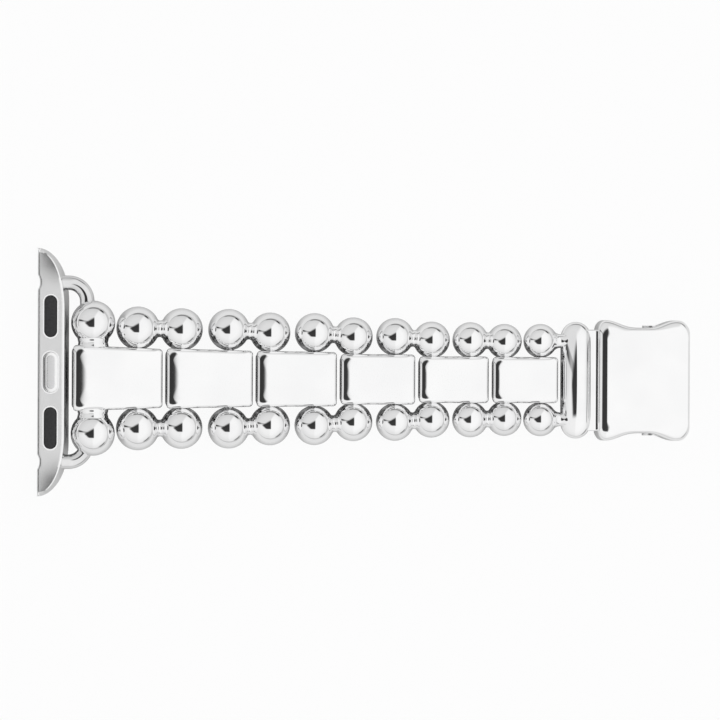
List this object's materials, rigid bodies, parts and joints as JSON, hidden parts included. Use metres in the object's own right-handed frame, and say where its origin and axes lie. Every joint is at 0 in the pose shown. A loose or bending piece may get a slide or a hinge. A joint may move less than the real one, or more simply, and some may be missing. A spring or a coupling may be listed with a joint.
{
  "type": "watch band",
  "caption": "Clasp half of a beaded metal watch band: slide-in lug with sprung detent, hinged blocks between rows of paired beads, and a push-button box clasp.",
  "frame": {"origin": "middle of the slide-in lug's rail, at the lug's underside, which faces the wrist", "axes": "+X along the band from the watch to the clasp, +Y across the band, the way the lug slides, +Z towards the decorated side"},
  "size_m": [0.079, 0.03, 0.0053],
  "materials": {
    "satin_aluminium": "satin, fine grain",
    "satin_steel": "satin",
    "polished_steel": "mirror polished",
    "polished_wire": "polished, fine scratches along the wire",
    "pin_steel": "ground",
    "spring_wire": "drawn wire",
    "pad_rubber": "matte, soft"
  },
  "bodies": {
    "lug": {"lug_body": "satin_aluminium", "lug_detent_cover": "satin_aluminium", "lug_detent_spring": "spring_wire", "wire_loop": "polished_wire", "lug_pad_upper": "pad_rubber", "lug_pad_lower": "pad_rubber"},
    "detent": {"lug_detent": "satin_steel"},
    "block_1": {"block_1": "polished_steel", "first_bead_upper": "polished_steel", "first_bead_lower": "polished_steel"},
    "bar_1": {"barbell_1_upper": "polished_steel", "barbell_1_lower": "polished_steel", "pin_1": "pin_steel", "pin_2": "pin_steel"},
    "block_2": {"block_2": "polished_steel"},
    "bar_2": {"barbell_2_upper": "polished_steel", "barbell_2_lower": "polished_steel", "pin_3": "pin_steel", "pin_4": "pin_steel"},
    "block_3": {"block_3": "polished_steel"},
    "bar_3": {"barbell_3_upper": "polished_steel", "barbell_3_lower": "polished_steel", "pin_5": "pin_steel", "pin_6": "pin_steel"},
    "block_4": {"block_4": "polished_steel"},
    "bar_4": {"barbell_4_upper": "polished_steel", "barbell_4_lower": "polished_steel", "pin_7": "pin_steel", "pin_8": "pin_steel"},
    "block_5": {"block_5": "polished_steel"},
    "bar_5": {"barbell_5_upper": "polished_steel", "barbell_5_lower": "polished_steel", "pin_9": "pin_steel", "pin_10": "pin_steel"},
    "block_6": {"block_6": "polished_steel"},
    "clasp": {"end_link": "polished_steel", "clasp_cover": "polished_steel", "clasp_base_plate": "satin_steel", "button_spring_upper": "spring_wire", "button_spring_lower": "spring_wire", "pin_11": "pin_steel"},
    "button_upper": {"push_button_upper": "satin_steel"},
    "button_lower": {"push_button_lower": "satin_steel"}
  },
  "joints": [
    {"name": "detent_slide", "type": "slide", "parent": "lug", "child": "detent", "axis": [0, 0, 1], "range_m": [-0.00045, 0], "stiffness_N_per_m": 800, "deforming": ["lug_detent_spring"]},
    {"name": "loop_hinge", "type": "hinge", "parent": "lug", "child": "block_1", "pos_m": [0.00455, -0.0007, 0.00205], "axis": [0, 1, 0], "range_deg": [-5, 60]},
    {"name": "pin_1_hinge", "type": "hinge", "parent": "block_1", "child": "bar_1", "pos_m": [0.01065, -0.0007, 0.00267], "axis": [0, 1, 0], "range_deg": [-4, 20]},
    {"name": "pin_2_hinge", "type": "hinge", "parent": "bar_1", "child": "block_2", "pos_m": [0.01595, -0.0007, 0.00267], "axis": [0, 1, 0], "range_deg": [-4, 20]},
    {"name": "pin_3_hinge", "type": "hinge", "parent": "block_2", "child": "bar_2", "pos_m": [0.02168, -0.0007, 0.00267], "axis": [0, 1, 0], "range_deg": [-4, 20]},
    {"name": "pin_4_hinge", "type": "hinge", "parent": "bar_2", "child": "block_3", "pos_m": [0.02669, -0.0007, 0.00267], "axis": [0, 1, 0], "range_deg": [-4, 20]},
    {"name": "pin_5_hinge", "type": "hinge", "parent": "block_3", "child": "bar_3", "pos_m": [0.03208, -0.0007, 0.00267], "axis": [0, 1, 0], "range_deg": [-4, 20]},
    {"name": "pin_6_hinge", "type": "hinge", "parent": "bar_3", "child": "block_4", "pos_m": [0.0368, -0.0007, 0.00267], "axis": [0, 1, 0], "range_deg": [-4, 20]},
    {"name": "pin_7_hinge", "type": "hinge", "parent": "block_4", "child": "bar_4", "pos_m": [0.04186, -0.0007, 0.00267], "axis": [0, 1, 0], "range_deg": [-4, 20]},
    {"name": "pin_8_hinge", "type": "hinge", "parent": "bar_4", "child": "block_5", "pos_m": [0.04629, -0.0007, 0.00267], "axis": [0, 1, 0], "range_deg": [-4, 20]},
    {"name": "pin_9_hinge", "type": "hinge", "parent": "block_5", "child": "bar_5", "pos_m": [0.05101, -0.0007, 0.00267], "axis": [0, 1, 0], "range_deg": [-4, 20]},
    {"name": "pin_10_hinge", "type": "hinge", "parent": "bar_5", "child": "block_6", "pos_m": [0.05514, -0.0007, 0.00267], "axis": [0, 1, 0], "range_deg": [-4, 20]},
    {"name": "pin_11_hinge", "type": "hinge", "parent": "block_6", "child": "clasp", "pos_m": [0.05953, -0.0007, 0.00267], "axis": [0, 1, 0], "range_deg": [-4, 20]},
    {"name": "button_upper_slide", "type": "slide", "parent": "clasp", "child": "button_upper", "axis": [0, -1, 0], "range_m": [0, 0.0008], "stiffness_N_per_m": 600, "deforming": ["button_spring_upper"]},
    {"name": "button_lower_slide", "type": "slide", "parent": "clasp", "child": "button_lower", "axis": [0, 1, 0], "range_m": [0, 0.0008], "stiffness_N_per_m": 600, "deforming": ["button_spring_lower"]}
  ]
}
